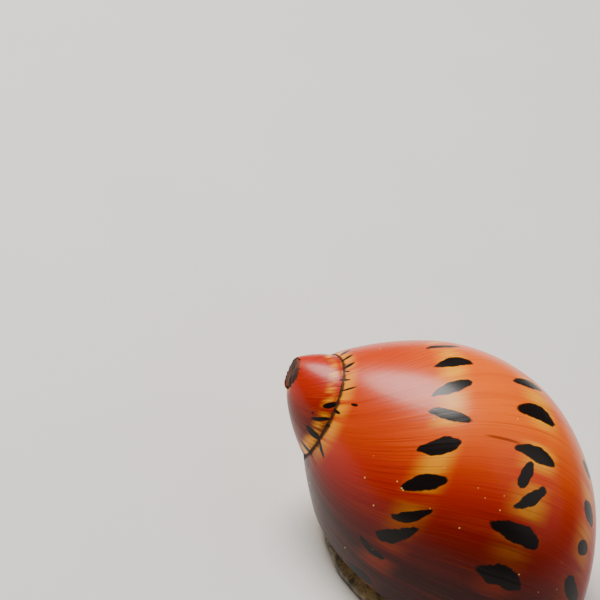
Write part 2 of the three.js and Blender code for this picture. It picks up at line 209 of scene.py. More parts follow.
def coil_piece(name, from_deg, to_deg, step_deg, outer_count, base_count, pole_of):
    """One stretch of the coil. Its UV map holds the turn in radians and t."""
    steps = round((to_deg - from_deg) / step_deg)
    rings = []
    pairs = []
    for i in range(steps + 1):
        theta = math.radians(from_deg + (to_deg - from_deg) * i / steps)
        places, t = section_loop(theta, pole_of(theta), outer_count, base_count)
        rings.append(places)
        pairs.append(np.stack([np.full(len(t), theta), t], axis=-1))
    return as_object(name, loft(rings, pairs))


def level_box(x0, x1, y0, y1, z0, z1):
    corners = np.array([[x0, y0], [x1, y0], [x1, y1], [x0, y1]])
    rings = []
    for z in (z0, z1):
        rings.append(np.column_stack([corners, np.full(4, z)]))
    return as_object("cut_box", loft(rings))


def base_pole(theta):
    return 26.5


def spire_pole(theta):
    return 1.9 * growth(theta)


spire_turns = [(-560, -440), (-440, -320), (-320, -200), (-200, -135)]
body_turns = [(-155, -40), (-40, 75), (75, 190), (190, 306)]
shell = coil_piece("shell", *spire_turns[0], 2.5, 70, 12, spire_pole)
for turns in spire_turns[1:]:
    combined(shell, coil_piece("turn", *turns, 2.5, 70, 12, spire_pole), "UNION")
for turns in body_turns:
    combined(shell, coil_piece("turn", *turns, 1.5, 90, 26, base_pole), "UNION")
core_rings = []
core_angles = np.linspace(0.0, 2.0 * math.pi, 24, endpoint=False)
for along, radius in ((1.3, 0.5), (22.0, 3.4)):
    circle = [coil_place(angle, np.array(radius), np.array(along)) for angle in core_angles]
    core_rings.append(np.array(circle))
combined(shell, as_object("core", loft(core_rings)), "UNION")

# The mouth side of the shell
# The snail lives behind a half round opening that lies flat on the floor side. Its outer lip is
# about a millimetre thick, cream and glazed inside, where the mantle keeps polishing it.
shell_points = np.empty(len(shell.data.vertices) * 3, dtype=np.float32)
shell.data.vertices.foreach_get("co", shell_points)
shell_points = shell_points.reshape(-1, 3) * to_mm
plate_top = 6.1
near_mouth = (shell_points[:, 2] > lip_height - 0.25) & (shell_points[:, 2] < plate_top)
plate_points = shell_points[near_mouth]
plate_low = plate_points.min(0)
plate_high = plate_points.max(0)
plate_middle = (plate_low + plate_high) / 2.0
plate_half = (plate_high - plate_low) / 2.0


def mouth_plate(name, thickness):
    """The slab of the mouth side, drawn in by a thickness all round."""
    form = bmesh.new()
    for place in plate_points[::3]:
        x = plate_middle[0] + (place[0] - plate_middle[0]) * (1.0 - thickness / plate_half[0])
        y = plate_middle[1] + (place[1] - plate_middle[1]) * (1.0 - thickness / plate_half[1])
        z = lip_height - 0.3 + (place[2] - plate_low[2]) * 1.2
        form.verts.new((x * to_metres, y * to_metres, z * to_metres))
    hull = bmesh.ops.convex_hull(form, input=form.verts, use_existing_faces=False)
    spare = [item for item in hull["geom_interior"] if isinstance(item, bmesh.types.BMVert)]
    bmesh.ops.delete(form, geom=spare, context="VERTS")
    mesh = bpy.data.meshes.new(name)
    form.to_mesh(mesh)
    form.free()
    return as_object(name, mesh)


inner_lip_look = bpy.data.materials.new("inner_lip")
shell_look = bpy.data.materials.new("shell")
wear(shell, shell_look)
lip_thickness = 1.1
recess_top = 5.5
recess_side = 1.5
recess_room = level_box(-40, 40, -40, recess_side, -5, recess_top)
recess = combined(mouth_plate("recess", lip_thickness), recess_room, "INTERSECT")
wear(recess, inner_lip_look)
floor_cut = level_box(-60, 60, -60, 60, -40, lip_height)
wear(floor_cut, inner_lip_look)
combined(shell, floor_cut, "DIFFERENCE")
combined(shell, recess, "DIFFERENCE")


# The worn tip of the spire
# Old nerites lose the glazed skin at the tip, where soft water etches the chalk below it. What
# is left is a blunt, pitted knob of dull brownish lime with a ragged edge of colour round it.
tip_cut = 1.45
shell_start = 1.49
tip_end = 2.75
wear_lean = 0.22
lean_side = np.array([0.0, 0.6, 0.77])
worn_slope = coil_axis + wear_lean * lean_side
worn_slope = worn_slope / np.linalg.norm(worn_slope)


def along_of(place):
    return (np.asarray(place) - apex_point) @ coil_axis


def depth_below_wear(place):
    spot = apex_point + coil_axis * tip_cut
    return (np.asarray(place) - spot) @ worn_slope


def parted(piece, along, keep_front):
    """Keeps the part of a piece beyond, or short of, the slope of the worn tip."""
    form = bmesh.new()
    form.from_mesh(piece.data)
    spot = Vector((apex_point + coil_axis * along) * to_metres)
    everything = form.verts[:] + form.edges[:] + form.faces[:]
    bmesh.ops.bisect_plane(
        form, geom=everything, plane_co=spot, plane_no=Vector(worn_slope), dist=1e-8,
        clear_inner=keep_front, clear_outer=not keep_front)
    form.to_mesh(piece.data)
    form.free()


tip = as_object("worn_tip", shell.data.copy())
parted(tip, tip_end, False)
parted(tip, tip_cut, True)
parted(shell, shell_start, True)
form = bmesh.new()
form.from_mesh(tip.data)
rim = [edge for edge in form.edges if edge.is_boundary]
rim = [edge for edge in rim if depth_below_wear(np.array(edge.verts[0].co) * to_mm) < 0.01]
bmesh.ops.contextual_create(form, geom=rim)
bmesh.ops.triangulate(form, faces=form.faces)
longest_edge = 0.00016
for step in range(2):
    long_edges = [edge for edge in form.edges if edge.calc_length() > longest_edge]
    bmesh.ops.subdivide_edges(form, edges=long_edges, cuts=1)
    bmesh.ops.triangulate(form, faces=form.faces)
form.normal_update()
for vert in form.verts:
    place = vert.co * to_mm
    along = along_of(np.array(place))
    pits = noise.fractal(place * 1.9, 0.6, 2.1, 4)
    rounding = max(0.0, 0.5 - depth_below_wear(np.array(place))) ** 2 * 0.5
    depth = 0.07 + 0.09 * abs(pits) + 0.02 * noise.noise(place * 9.0)
    inward = Vector(apex_point + coil_axis * (along + 0.3)) - place
    inward.normalize()
    vert.co -= vert.normal * depth * to_metres
    vert.co += inward * rounding * to_metres
form.to_mesh(tip.data)
form.free()

form = bmesh.new()
form.from_mesh(shell.data)
chipped = []
for face in form.faces:
    place = face.calc_center_median() * to_mm
    ragged = 0.17 + 0.12 * noise.noise(place * 1.3) + 0.09 * noise.noise(place * 4.1)
    if depth_below_wear(np.array(place)) < ragged:
        chipped.append(face)
bmesh.ops.delete(form, geom=chipped, context="FACES")
form.to_mesh(shell.data)
form.free()
for piece in (shell, tip):
    smooth(piece.data, 38)
    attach(piece, "root")
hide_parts("shell_body_whorl", "shell_spire")
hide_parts("shell_apex")


# The colours of the shell
# The glaze is laid down with the lip, so every line in it is a former lip. It is orange, with
# yellow spiral zones, and in the zones short black dashes that run along the former lips.
class Wire:
    """One output in a node tree, so that shader sums read as plain sums."""

    def __init__(self, tree, socket):
        self.tree = tree
        self.socket = socket

    def made(self, kind, settings=None, inputs=None, out=0):
        node = self.tree.nodes.new(kind)
        for name, value in (settings or {}).items():
            setattr(node, name, value)
        for name, value in (inputs or {}).items():
            if isinstance(value, Wire):
                self.tree.links.new(value.socket, node.inputs[name])
            else:
                node.inputs[name].default_value = value
        return Wire(self.tree, node.outputs[out])

    def math(self, operation, *values):
        inputs = dict(enumerate(values))
        return self.made("ShaderNodeMath", {"operation": operation}, inputs)

    def __add__(self, other):
        return self.math("ADD", self, other)

    def __radd__(self, other):
        return self.math("ADD", other, self)

    def __sub__(self, other):
        return self.math("SUBTRACT", self, other)

    def __rsub__(self, other):
        return self.math("SUBTRACT", other, self)

    def __mul__(self, other):
        return self.math("MULTIPLY", self, other)

    def __truediv__(self, other):
        return self.math("DIVIDE", self, other)

    def __pow__(self, other):
        return self.math("POWER", self, other)

    def __abs__(self):
        return self.math("ABSOLUTE", self)

    def largest(self, other):
        return self.math("MAXIMUM", self, other)

    def step(self, low, high):
        """0 at low and 1 at high, smoothly, and the other way round where low is higher."""
        settings = {"interpolation_type": "SMOOTHSTEP", "clamp": True}
        if low > high:
            return 1.0 - self.step(high, low)
        inputs = {"Value": self, "From Min": low, "From Max": high}
        return self.made("ShaderNodeMapRange", settings, inputs)

    def bell(self, centre, reach):
        """1 at the centre, falling smoothly to 0 at the reach on both sides."""
        return abs(self - centre).step(reach, 0.0)

    def mixed(self, first, second):
        """The first colour where this is 0 and the second where it is 1."""
        settings = {"data_type": "RGBA", "clamp_factor": True}
        inputs = {0: self, 6: first, 7: second}
        return self.made("ShaderNodeMix", settings, inputs, 2)

    def cloud(self, scale, detail=3.0, rough=0.5):
        """Noise over this vector."""
        inputs = {"Vector": self, "Scale": scale, "Detail": detail, "Roughness": rough}
        return self.made("ShaderNodeTexNoise", {}, inputs)

    def joined(self, y, z):
        return self.made("ShaderNodeCombineXYZ", {}, {"X": self, "Y": y, "Z": z})

    def part(self, index):
        return self.made("ShaderNodeSeparateXYZ", {}, {"Vector": self}, index)


def place_on(wire):
    """The place on the piece itself, in metres."""
    return wire.made("ShaderNodeTexCoord", {}, {}, 3)


def paint(red, green, blue):
    """A screen colour, 0 to 255, as the linear colour that a shader takes."""
    linear = []
    for value in (red, green, blue):
        share = value / 255.0
        if share <= 0.04045:
            linear.append(share / 12.92)
        else:
            linear.append(((share + 0.055) / 1.055) ** 2.4)
    return (*linear, 1.0)


def new_look(look, constants):
    """Empties a material and returns its tree, its shader with the fixed values, and a wire."""
    look.use_nodes = True
    tree = look.node_tree
    tree.nodes.clear()
    shader = tree.nodes.new("ShaderNodeBsdfPrincipled")
    output = tree.nodes.new("ShaderNodeOutputMaterial")
    tree.links.new(shader.outputs[0], output.inputs["Surface"])
    for name, value in constants.items():
        shader.inputs[name].default_value = value
    return tree, shader, Wire(tree, shader.outputs[0])


def plug(tree, shader, values):
    for name, wire in values.items():
        tree.links.new(wire.socket, shader.inputs[name])


def bumped(wire, height, strength, distance):
    inputs = {"Height": height, "Strength": strength, "Distance": distance}
    return wire.made("ShaderNodeBump", {}, inputs)


shell_fixed = {"IOR": 1.5, "Coat Roughness": 0.22, "Coat IOR": 1.5,
               "Specular IOR Level": 0.19}
tree, shader, any_wire = new_look(shell_look, shell_fixed)
coil_uv = any_wire.made("ShaderNodeUVMap", {"uv_map": "Coil"})
place = place_on(any_wire)
turn = coil_uv.part(0) * math.degrees(1.0)
t = coil_uv.part(1)

# The lip angle is the same all along one former lip. It and both sides of the suture follow
# curves of the turn and t that were fitted to the photograph.
wander = place.cloud(300.0, 2.0) - 0.5
former = turn - (t * 20.65 + t * t * 14.26 - t * t * t * 1.516)
lip_angle = former + wander * 0.9
below_suture = t + 2.558 - turn * 0.000485
above_suture = -1.399 - (turn + 360.0) * 0.00116 - t + turn.step(-141.0, -139.0) * 5.0

# The ground runs from orange to deep red towards the lip, partly its own colour and partly
# painted shade, then on to near black, which is painted shade, and it is redder on the older
# turns. Painted shade also darkens the low side of the spire.
ground = lip_angle.step(58.0, 100.0).mixed(paint(236, 98, 0), paint(186, 30, 0))
ground = (t.step(-1.45, -2.15) * 0.7).mixed(ground, paint(186, 24, 0))
# Painted shade: near black where the last turn falls away towards the lip
ground = lip_angle.step(80.0, 138.0).mixed(ground, paint(44, 3, 1))
ground = turn.step(-100.0, -200.0).mixed(ground, paint(184, 28, 2))
# Painted shade on the low side of the spire
spire_painted_shade = lip_angle.step(-290.0, -225.0) * lip_angle.step(-70.0, -130.0)
ground = (spire_painted_shade * turn.step(-60.0, -90.0) * 0.85).mixed(ground, paint(70, 6, 2))
ground = turn.step(196.0, 232.0).mixed(ground, paint(206, 64, 0))
zone_a = t.bell(-1.68, 0.17)
zone_b = t.bell(-1.03, 0.20)
zone_top = below_suture.bell(0.04, 0.12)
zone_low = t.bell(-0.35, 0.26)
breakup = lip_angle.joined(t * 9.0, 0.0).cloud(0.11, 3.0)
zones = zone_a.largest(zone_b).largest(zone_low * 0.8)
zones = zones * breakup.step(0.36, 0.6)
zones = zones.largest(zone_top * breakup.step(0.3, 0.5) * 0.75)
zones = zones.largest(above_suture.bell(0.0, 0.12) * breakup.step(0.4, 0.6) * 0.4)
# The yellow of the zones darkens towards the lip, partly its own colour and partly painted shade
yellow = lip_angle.step(70.0, 125.0).mixed(paint(250, 160, 0), paint(124, 36, 0))
yellow = turn.step(196.0, 232.0).mixed(yellow, paint(236, 140, 10))
colour = (zones * 1.1).mixed(ground, yellow)
lines = lip_angle.joined(t * 0.9, 2.0).cloud(1.5, 2.0, 0.5)
broad = lip_angle.joined(t * 0.5, 7.0).cloud(0.16, 2.0)
# The pale growth lines fade where the painted shade falls
pale_part = 0.20 - lip_angle.step(60.0, 120.0) * 0.15
colour = (lines.step(0.50, 0.72) * pale_part).mixed(colour, paint(240, 116, 4))
colour = (lines.step(0.45, 0.28) * 0.36).mixed(colour, paint(82, 12, 2))
colour = (broad.step(0.5, 0.75) * 0.22).mixed(colour, paint(150, 24, 4))

# The marks that show, measured on the photograph and rounded. Each has the lip angle and t of its
# middle, half its reach in t, half its width in degrees, how far its far end slants and how far
# both ends bend, in degrees.
marks = [
    (9, -1.69, 0.160, 2.3, 2.3, 1.0), (27, -1.67, 0.160, 3.8, 2.4, 2.4),
    (45, -1.69, 0.145, 3.7, -1.4, 1.0), (61, -1.68, 0.160, 3.1, 4.6, 0.0),
    (76, -1.69, 0.140, 3.9, -0.8, 0.0), (93, -1.69, 0.130, 4.2, -1.6, 0.6),
    (109, -1.67, 0.110, 2.7, -2.6, -1.0), (120, -1.69, 0.105, 4.6, -4.0, -2.2),
    (132, -1.76, 0.110, 1.6, 2.3, -2.0), (40, -1.08, 0.150, 3.4, -1.5, 0.6),
    (57, -1.07, 0.170, 4.1, 0.6, 1.6), (76, -1.07, 0.160, 3.3, 1.6, 1.0),
    (85, -1.11, 0.050, 5.2, -2.0, 0.0), (93, -1.03, 0.095, 3.4, -4.2, 0.0),
    (106, -1.05, 0.175, 3.7, 1.5, 0.0), (122, -1.03, 0.165, 4.0, 0.9, 1.0),
    (41, -2.36, 0.030, 1.3, 1.0, 0.0), (47, -2.49, 0.045, 2.2, 3.0, 0.0),
    (66, -2.50, 0.030, 2.6, 0.0, 0.0), (23, -2.46, 0.070, 1.2, -1.0, 0.0),
    (90, -2.43, 0.075, 2.2, 7.0, 0.0), (9, -2.50, 0.045, 1.2, 2.0, 0.0),
    (-4, -2.50, 0.040, 1.2, 3.0, 0.0), (-264, -1.62, 0.150, 3.4, -1.0, 0.0),
    (-247, -1.70, 0.170, 2.8, -2.0, 0.0), (-228, -1.72, 0.170, 4.4, 4.0, 0.0),
    (-274, -1.48, 0.045, 2.4, 0.0, 0.0), (-296, -1.48, 0.060, 1.7, 0.0, 0.0),
    (-252, -1.88, 0.025, 1.6, 0.0, 0.0),
]
wobble_t = (place.cloud(900.0, 2.0) - 0.5) * 0.05
wobble_angle = (place.cloud(760.0, 2.0) - 0.5) * 3.6
edge = (place.cloud(2600.0, 2.0) - 0.5) * 0.35
mark_t_here = t + wobble_t
mark_angle_here = lip_angle + wobble_angle
black = None
for mark_angle, mark_t, reach, width, slant, bend in marks:
    sideways = (mark_t_here - mark_t) / reach
    round_part = sideways * sideways
    across = (mark_angle_here - mark_angle - sideways * slant - round_part * bend) / width
    cover = (round_part + abs(across) ** 1.6 + edge).step(1.10, 0.86)
    black = cover if black is None else black.largest(cover)

# Marks the photograph doesn't show repeat in the same zones, one to a cell of lip angle
unseen_zones = [
    (-1.68, 16.0, 138.0, 1.0, 3.0), (-1.05, 17.0, 133.0, 1.0, 8.0),
    (-2.46, 19.0, 104.0, 0.5, 13.0), (-0.35, 18.0, None, 1.0, 21.0),
]
for zone_t, spacing, from_angle, share, seed in unseen_zones:
    cells = mark_angle_here / spacing
    cell = cells.math("FLOOR", cells)
    roll = cell.made("ShaderNodeTexWhiteNoise", {"noise_dimensions": "1D"}, {"W": cell + seed}, 1)
    offset = (roll.part(0) - 0.5) * 0.3
    reach = (0.10 + roll.part(1) * 0.07) * share
    width = 0.14 + roll.part(2) * 0.12
    sideways = (mark_t_here - zone_t - (roll.part(2) - 0.5) * 0.05) / reach
    across = (cells - cell - 0.5 - offset - sideways * (roll.part(1) - 0.5) * 0.2) / width
    cover = (sideways * sideways + abs(across) ** 1.6 + edge).step(1.10, 0.86)
    if from_angle is not None:
        older = lip_angle.step(-8.0, -10.0) * lip_angle.step(-206.0, -204.0)
        cover = cover * lip_angle.step(from_angle, from_angle + 2.0).largest(older)
    black = black.largest(cover)

# The suture is a fine dark line with ragged black flecks along both of its sides
seam_edge = (place.cloud(1300.0, 3.0) - 0.5) * 0.05
seam = (below_suture + seam_edge).step(0.036, 0.014)
seam = seam.largest((above_suture + seam_edge).step(0.020, 0.004))
fleck = lip_angle.joined(t * 3.0, 9.0).cloud(0.42, 3.0)
flecks = fleck.step(0.61, 0.66) * below_suture.step(0.075, 0.02)
flecks = flecks.largest(fleck.step(0.56, 0.62) * above_suture.step(0.12, 0.04))
black = black.largest(seam * 0.92).largest(flecks)

# One thin brown scar between the zones, then fine pale specks and the polish of the glaze
scar_side = (t + 1.30) / 0.13
scar_line = (lip_angle - 73.0 - scar_side) / 0.7
scar = (scar_side * scar_side + scar_line * scar_line).step(1.2, 0.4)
colour = (scar * 0.6).mixed(colour, paint(84, 16, 2))
colour = black.mixed(colour, paint(16, 7, 5))
specks = place.made("ShaderNodeTexVoronoi", {"feature": "F1"}, {"Vector": place, "Scale": 1150.0})
rare = place.cloud(330.0, 1.0)
specks = specks.step(0.10, 0.05) * rare.step(0.56, 0.63)
colour = (specks * 0.8).mixed(colour, paint(250, 206, 110))
height = lines * 0.5 + lip_angle.joined(t * 0.7, 5.0).cloud(0.34, 2.0) - black * 0.10
roughness = 0.22 + lines * 0.14 + place.cloud(700.0, 3.0) * 0.08 + seam.largest(flecks) * 0.4
normal = bumped(any_wire, height, 0.30, 0.00007)
in_shade = lip_angle.step(76.0, 118.0).largest(spire_painted_shade * turn.step(-60.0, -90.0))
glaze = 0.26 - in_shade * turn.step(232.0, 196.0) * 0.24 - seam.largest(flecks) * 0.2
plug(tree, shader, {"Base Color": colour, "Roughness": roughness, "Coat Weight": glaze,
                    "Normal": normal})

# The bare lime of the tip, and the cream glaze inside the mouth
tip_look = bpy.data.materials.new("worn_tip")
wear(tip, tip_look)
tree, shader, any_wire = new_look(tip_look, {"IOR": 1.45})
place = place_on(any_wire)
chalk = place.cloud(1500.0, 5.0, 0.65)
stain = place.cloud(520.0, 3.0)
colour = stain.step(0.35, 0.65).mixed(paint(52, 24, 14), paint(118, 66, 38))
colour = (chalk.step(0.5, 0.32) * 0.8).mixed(colour, paint(34, 16, 10))
normal = bumped(any_wire, chalk, 0.7, 0.0001)
plug(tree, shader, {"Base Color": colour, "Roughness": 0.62 + chalk * 0.3, "Normal": normal})

tree, shader, any_wire = new_look(inner_lip_look, {"IOR": 1.5, "Coat Weight": 0.4})
place = place_on(any_wire)
layers = place.cloud(240.0, 4.0)
colour = layers.step(0.35, 0.7).mixed(paint(236, 214, 176), paint(226, 176, 112))
normal = bumped(any_wire, layers, 0.25, 0.0001)
plug(tree, shader, {"Base Color": colour, "Roughness": 0.2 + layers * 0.15, "Normal": normal})

# The inner lip
# A shelf of cream glazed lime closes the inner half of the mouth, and the snail slides in and out
# beside it. Its edge is nearly smooth, so the solid is kept and only rounded there.
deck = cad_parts["shell_columellar_deck"]
wear(deck, inner_lip_look)
rounding = deck.modifiers.new("rounding", "BEVEL")
rounding.width = 0.00015
rounding.segments = 2
rounding.limit_method = "ANGLE"

# The foot, mantle and head, in one skin
# Moist muscle under one thin skin: a broad creeping sole with a thin rim, a short stalk, the
# mantle that lines the lip, and a low flat head with long thread-like feelers.
heading = math.radians(-35)
ahead = np.array([math.cos(heading), math.sin(heading), 0.0])
leftward = np.array([-ahead[1], ahead[0], 0.0])
sole_centre = np.array([1.6, -3.4, 0.0])
foot_half_long = 10.0
foot_half_wide = 5.9
feeler_reach = 8.4


def body_place(s, w, z):
    """The place s ahead of the middle of the sole, w to its left and z above it."""
    s, w, z = np.broadcast_arrays(*(np.asarray(value, dtype=float) for value in (s, w, z)))
    place = sole_centre + np.multiply.outer(s, ahead) + np.multiply.outer(w, leftward)
    return place + np.multiply.outer(z, np.array([0.0, 0.0, 1.0]))


def foot_ring(z, inset):
    angle = np.linspace(0.0, 2.0 * math.pi, 144, endpoint=False)
    s = foot_half_long * np.cos(angle)
    power = np.where(s > 0, 2.6, 1.9)
    narrowing = np.sqrt(np.maximum(0.0, 1.0 - np.abs(s / foot_half_long) ** power))
    w = np.sign(np.sin(angle)) * foot_half_wide * narrowing
    frill = 1.0 + 0.012 * np.sin(9 * angle + 1.0) + 0.008 * np.sin(17 * angle)
    s = s * (1.0 - inset / foot_half_long) * frill
    w = w * (1.0 - inset / foot_half_wide) * frill
    return body_place(s, w, z)


def oval_ring(s0, half_long, half_wide, z):
    angle = np.linspace(0.0, 2.0 * math.pi, 72, endpoint=False)
    return body_place(s0 + half_long * np.cos(angle), half_wide * np.sin(angle), z)


def head_ring(s, half_wide, low, high):
    angle = np.linspace(0.0, 2.0 * math.pi, 48, endpoint=False)
    c = np.cos(angle)
    sn = np.sin(angle)
    w = half_wide * np.sign(c) * np.abs(c) ** 0.85
    z = (low + high) / 2.0 + (high - low) / 2.0 * np.sign(sn) * np.abs(sn) ** 0.85
    return body_place(s, w, z)


def feeler_path(side, f):
    s = 11.3 + feeler_reach * (0.86 * f - 0.1 * f * f)
    w = side * (1.75 + feeler_reach * (0.36 * f + 0.16 * f * f))
    z = 2.45 + 1.1 * np.sin(2.4 * f) - 1.3 * f * f
    return body_place(s, w, z)


def tube_rings(path, radius_of, count):
    rings = []
    for i, centre in enumerate(path):
        along = path[min(i + 1, len(path) - 1)] - path[max(i - 1, 0)]
        along = along / np.linalg.norm(along)
        sideways = np.cross(along, [0.0, 0.0, 1.0])
        sideways = sideways / np.linalg.norm(sideways)
        upward = np.cross(sideways, along)
        angle = np.linspace(0.0, 2.0 * math.pi, count, endpoint=False)
        ring = centre + radius_of(i / (len(path) - 1)) * (
            np.outer(np.cos(angle), sideways) + np.outer(np.sin(angle), upward))
        rings.append(ring)
    return rings


# Foot: height and inset. Stalk: middle, half length, half width, height. Head: place along the
# body, half width, underside and top.
foot_levels = (
    (0.0, 0.35), (0.1, 0.1), (0.25, 0.0), (0.45, 0.02), (0.7, 0.2), (1.0, 0.9), (1.25, 2.0),
    (1.5, 3.2), (1.6, 5.0))
stalk_levels = (
    (1.2, 7.2, 4.6, 0.6), (1.2, 6.4, 4.2, 1.0), (1.2, 5.7, 3.8, 1.8), (1.0, 5.4, 3.7, 2.6),
    (0.8, 5.6, 4.1, 3.4), (0.8, 5.2, 4.0, 3.8))
head_stations = (
    (4.0, 2.6, 1.2, 3.2), (5.0, 2.55, 1.2, 2.9), (6.6, 2.53, 1.1, 2.5), (8.6, 2.35, 0.95, 2.3),
    (10.2, 2.25, 0.7, 2.35), (11.3, 2.39, 0.55, 2.95), (12.1, 2.35, 0.42, 3.05),
    (12.8, 2.16, 0.36, 2.75), (13.6, 1.84, 0.36, 2.15), (14.0, 1.43, 0.46, 1.75),
    (14.25, 0.9, 0.75, 1.4))
flesh_meshes = [
    loft([foot_ring(*level) for level in foot_levels]),
    loft([oval_ring(*level) for level in stalk_levels]),
    loft([head_ring(*station) for station in head_stations]),
]
for side in (1, -1):
    f = np.linspace(0.0, 1.0, 60)
    flesh_meshes.append(loft(tube_rings(
        feeler_path(side, f), lambda part: 0.54 - 0.34 * part ** 0.9, 20)))
    stalk_path = np.linspace(
        body_place(11.1, side * 1.9, 1.9), body_place(11.35, side * 3.0, 3.0), 12)
    flesh_meshes.append(loft(tube_rings(
        stalk_path, lambda part: 0.55 - 0.17 * part ** 1.5, 24)))
flesh = as_object("flesh", flesh_meshes[0])
form = bmesh.new()
for mesh in flesh_meshes:
    form.from_mesh(mesh)
mantle_inset = 1.12
mantle_side = 1.45
mantle_top = 5.3
mantle_room = level_box(-40, 40, -40, mantle_side, lip_height - 0.25, mantle_top)
mantle = combined(mouth_plate("mantle", mantle_inset), mantle_room, "INTERSECT")
form.from_mesh(mantle.data)
bpy.data.objects.remove(mantle)
joined_mesh = bpy.data.meshes.new("flesh")
form.to_mesh(joined_mesh)
form.free()
flesh.data = joined_mesh
remesh = flesh.modifiers.new("one_skin", "REMESH")
remesh.mode = "VOXEL"
remesh.voxel_size = 0.00011
settled(flesh)
soften = flesh.modifiers.new("soften", "SMOOTH")
soften.factor = 0.5
soften.iterations = 6
settled(flesh)

# Wrinkles, the cleft and fold of the snout and the rings of the feelers are pressed into the skin
flesh_normals = np.empty(len(flesh.data.vertices) * 3, dtype=np.float32)
flesh.data.vertices.foreach_get("normal", flesh_normals)
flesh_normals = flesh_normals.reshape(-1, 3)
flesh_points = np.empty(len(flesh.data.vertices) * 3, dtype=np.float32)
flesh.data.vertices.foreach_get("co", flesh_points)
flesh_points = flesh_points.reshape(-1, 3) * to_mm
ahead_of = (flesh_points - sole_centre) @ ahead
left_of = (flesh_points - sole_centre) @ leftward
height_of = flesh_points[:, 2]
feeler_share = np.zeros(len(flesh_points))
fine_count = 90
for side in (1, -1):
    fine = feeler_path(side, np.linspace(0.0, 1.0, fine_count))
    close = (left_of * side > 1.0) & (ahead_of > 11.2)
    chosen = np.flatnonzero(close)
    gaps = np.linalg.norm(flesh_points[chosen][:, None] - fine[None], axis=2)
    nearest = gaps.argmin(1)
    share = nearest / (fine_count - 1.0)
    inside = gaps.min(1) < 0.75
    feeler_share[chosen[inside]] = np.maximum(feeler_share[chosen[inside]], share[inside])
wrinkle = 0.5 * np.sin(2.6 * ahead_of + 1.3 * np.sin(1.7 * left_of)) * np.sin(2.1 * left_of + 0.6)
wrinkle += 0.5 * np.sin(5.3 * ahead_of + 2.0 * np.sin(3.1 * left_of) + 1.0)
head_part = smooth_step(ahead_of, 9.0, 11.0) * (1.0 - smooth_step(feeler_share, 0.02, 0.08))
rim_part = smooth_step(height_of, 0.15, 0.5) * (1.0 - smooth_step(height_of, 1.2, 1.9))
press = 0.022 * wrinkle * np.maximum(rim_part, head_part)
press += 0.02 * np.sin(42.0 * feeler_share) * smooth_step(feeler_share, 0.05, 0.15)
crease = np.exp(-(left_of / 0.22) ** 2) * smooth_step(ahead_of, 12.9, 13.7)
press -= 0.24 * crease * (1.0 - smooth_step(height_of, 1.0, 1.9))
fold = np.exp(-((ahead_of - 13.0 - 0.05 * left_of ** 2) / 0.14) ** 2)
press -= 0.07 * fold * smooth_step(height_of, 0.6, 1.2)
flesh_points = flesh_points + flesh_normals * press[:, None]
flesh_points[:, 2] = np.maximum(flesh_points[:, 2], 0.0)
flesh.data.vertices.foreach_set("co", (flesh_points * to_metres).astype(np.float32).ravel())
layer = flesh.data.attributes.new("feeler", "FLOAT", "POINT")
layer.data.foreach_set("value", feeler_share.astype(np.float32))
smooth(flesh.data)
flesh.data.update()
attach(flesh, "root")
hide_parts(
    "mantle", "foot", "neck", "head", "snout", "tentacle_left_base",
    "tentacle_left_middle", "tentacle_left_tip", "tentacle_right_base",
    "tentacle_right_middle", "tentacle_right_tip", "eye_stalk_left", "eye_stalk_right")

flesh_look = bpy.data.materials.new("flesh")
wear(flesh, flesh_look)
flesh_fixed = {"IOR": 1.4, "Coat Weight": 0.5, "Coat Roughness": 0.14,
               "Subsurface Weight": 0.25, "Subsurface Radius": (0.6, 0.4, 0.3),
               "Subsurface Scale": 0.0006}
tree, shader, any_wire = new_look(flesh_look, flesh_fixed)
place = place_on(any_wire)
feeler = any_wire.made("ShaderNodeAttribute", {"attribute_name": "feeler"}, {}, 2)
mottle = place.cloud(900.0, 5.0, 0.6)
patches = place.cloud(260.0, 3.0)
colour = mottle.step(0.36, 0.62).mixed(paint(74, 64, 50), paint(164, 144, 104))
colour = (patches.step(0.46, 0.60) * 0.55).mixed(colour, paint(46, 40, 33))
fine_dots = place.cloud(4200.0, 2.0)
colour = (fine_dots.step(0.56, 0.66) * 0.5).mixed(colour, paint(30, 26, 22))
rings = feeler * 150.0 + mottle * 9.0
rings = rings.math("SINE", rings)
on_feeler = feeler.step(0.03, 0.12)
colour = (on_feeler * 0.55).mixed(colour, paint(62, 58, 50))
colour = (on_feeler * rings.step(-0.4, 0.9) * 0.6).mixed(colour, paint(22, 20, 18))
beads = place.made("ShaderNodeTexVoronoi", {"feature": "F1"}, {"Vector": place, "Scale": 2600.0})
height = mottle * 0.5 - beads * 0.5
normal = bumped(any_wire, height, 0.5, 0.00006)
plug(tree, shader, {"Base Color": colour, "Roughness": 0.3 + mottle * 0.25, "Normal": normal})

# The operculum
# A chalky trapdoor grown by a disc on the tail. Its outer face is smooth and slightly domed,
# with fine curved growth lines that start at one low corner.
door_middle = -6.2
door_half_long = 2.3
door_half_wide = 3.4

# Each level: height, how far the outline grows, and its straight front edge
door_levels = (
    (1.3, -0.1, -5.3), (1.42, 0.0, -5.2), (1.6, 0.0, -5.2), (1.75, -0.1, -5.28),
    (1.85, -0.35, -5.45), (1.9, -0.9, -5.8), (1.92, -1.6, -6.1))
door_rings = []
for z, grow, front in door_levels:
    angle = np.linspace(0.0, 2.0 * math.pi, 96, endpoint=False)
    s = np.minimum(door_middle + (door_half_long + grow) * np.cos(angle), front)
    w = (door_half_wide + grow) * np.sin(angle)
    door_rings.append(body_place(s, w, z + 0.05 * np.cos(w * 0.9)))
door = as_object("operculum_plate", loft(door_rings))
smooth(door.data, 50)
door_look = bpy.data.materials.new("operculum")
door.data.materials.append(door_look)
tree, shader, any_wire = new_look(door_look, {"IOR": 1.5, "Coat Weight": 0.3})
place = place_on(any_wire)
corner = tuple(body_place(-5.3, -3.2, 1.9) * to_metres)
